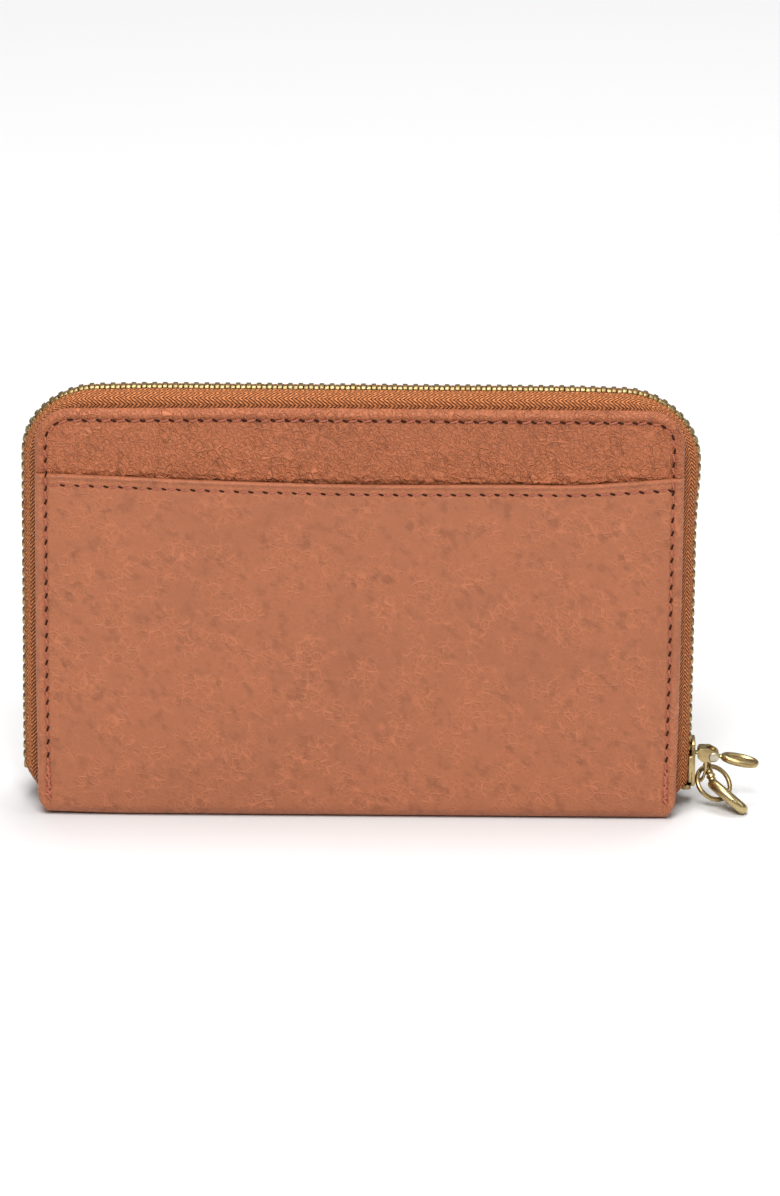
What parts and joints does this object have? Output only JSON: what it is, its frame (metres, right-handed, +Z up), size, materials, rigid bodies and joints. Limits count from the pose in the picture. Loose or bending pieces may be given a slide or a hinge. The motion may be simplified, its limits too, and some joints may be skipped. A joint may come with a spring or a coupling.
{
  "type": "zip around wallet",
  "caption": "Zip around wallet in pebbled leather, with a slip pocket on the back cover, card pockets and a zipped coin pocket inside, and a ring puller and swivel on the zip.",
  "frame": {"origin": "centre of the spine's flat underside, which the wallet stands on", "axes": "+X along the width towards the zip's pull, +Y from the back cover with the slip pocket towards the front cover, +Z up from the spine"},
  "size_m": [0.1765, 0.0248, 0.1068],
  "materials": {
    "outer_leather": "satin pebbled grain, warm tan",
    "card_leather": "smooth satin, warm tan",
    "lining_fabric": "matt fine weave",
    "zip_tape": "matt herringbone tape, rust brown",
    "zip_metal": "polished antique brass",
    "pull_brass": "polished antique brass"
  },
  "bodies": {
    "spine": {"spine": "outer_leather", "coin_pocket_back_wall": "lining_fabric", "coin_pocket_front_wall": "lining_fabric", "coin_zip_back_tape": "zip_tape", "coin_zip_front_tape": "zip_tape", "coin_zip_back_teeth": "zip_metal", "coin_zip_front_teeth": "zip_metal", "coin_zip_left_stop": "zip_metal", "coin_zip_right_stop": "zip_metal"},
    "back_cover": {"back_panel": "outer_leather", "back_pocket": "outer_leather", "back_lining": "lining_fabric", "back_card_pocket_1": "card_leather", "back_card_pocket_2": "card_leather", "back_card_pocket_3": "card_leather", "back_card_pocket_4": "card_leather", "back_zip_tape": "zip_tape", "back_teeth": "zip_metal", "back_top_stop": "zip_metal", "zip_bottom_stop": "zip_metal"},
    "front_cover": {"front_panel": "outer_leather", "front_lining": "lining_fabric", "front_card_pocket_1": "card_leather", "front_card_pocket_2": "card_leather", "front_card_pocket_3": "card_leather", "front_card_pocket_4": "card_leather", "front_zip_tape": "zip_tape", "front_teeth": "zip_metal", "front_top_stop": "zip_metal"},
    "zip_slider": {"slider_body": "pull_brass"},
    "pull_link": {"pull_link": "pull_brass", "link_pin": "pull_brass"},
    "puller": {"puller_ring": "pull_brass"},
    "jump_ring": {"jump_ring": "pull_brass"},
    "swivel_eye": {"swivel_eye": "pull_brass"},
    "swivel_loop": {"swivel_loop": "pull_brass"},
    "coin_slider": {"coin_slider": "pull_brass"},
    "coin_puller": {"coin_puller": "pull_brass"}
  },
  "joints": [
    {"name": "back_cover_fold", "type": "hinge", "parent": "spine", "child": "back_cover", "pos_m": [0, -0.011, 0.0014], "axis": [1, 0, 0], "range_deg": [0, 90], "deforming": ["back_zip_tape", "back_teeth", "back_top_stop"]},
    {"name": "front_cover_fold", "type": "hinge", "parent": "spine", "child": "front_cover", "pos_m": [0, 0.011, 0.0014], "axis": [-1, 0, 0], "range_deg": [0, 90], "deforming": ["front_zip_tape", "front_teeth", "front_top_stop"]},
    {"name": "zip_slide", "type": "slide", "parent": "back_cover", "child": "zip_slider", "axis": [0, 0, 1], "range_m": [0, 0.072]},
    {"name": "link_swing", "type": "hinge", "parent": "zip_slider", "child": "pull_link", "pos_m": [0.0825, 0, 0.01175], "axis": [0, -1, 0], "range_deg": [-5, 12]},
    {"name": "puller_swing", "type": "hinge", "parent": "pull_link", "child": "puller", "pos_m": [0.0856, 0, 0.0122], "axis": [0, -1, 0], "range_deg": [-10, 80]},
    {"name": "jump_ring_swing", "type": "hinge", "parent": "zip_slider", "child": "jump_ring", "pos_m": [0.08211, 0, 0.00729], "axis": [-0.341, -0.8181, -0.4631], "range_deg": [-6, 8]},
    {"name": "swivel_swing", "type": "hinge", "parent": "jump_ring", "child": "swivel_eye", "pos_m": [0.08432, 0.00255, 0.00803], "axis": [-0.8409, -0.5369, 0.068], "range_deg": [0, 12]},
    {"name": "swivel_turn", "type": "hinge", "parent": "swivel_eye", "child": "swivel_loop", "pos_m": [0.08438, 0.00232, 0.00794], "axis": [0.2216, -0.9125, -0.3439], "range_deg": [-4, 20]},
    {"name": "coin_zip_slide", "type": "slide", "parent": "spine", "child": "coin_slider", "axis": [-1, 0, 0], "range_m": [0, 0.12]},
    {"name": "coin_puller_swing", "type": "hinge", "parent": "coin_slider", "child": "coin_puller", "pos_m": [0.0622, 0, 0.0992], "axis": [0, 1, 0], "range_deg": [0, 170]}
  ]
}
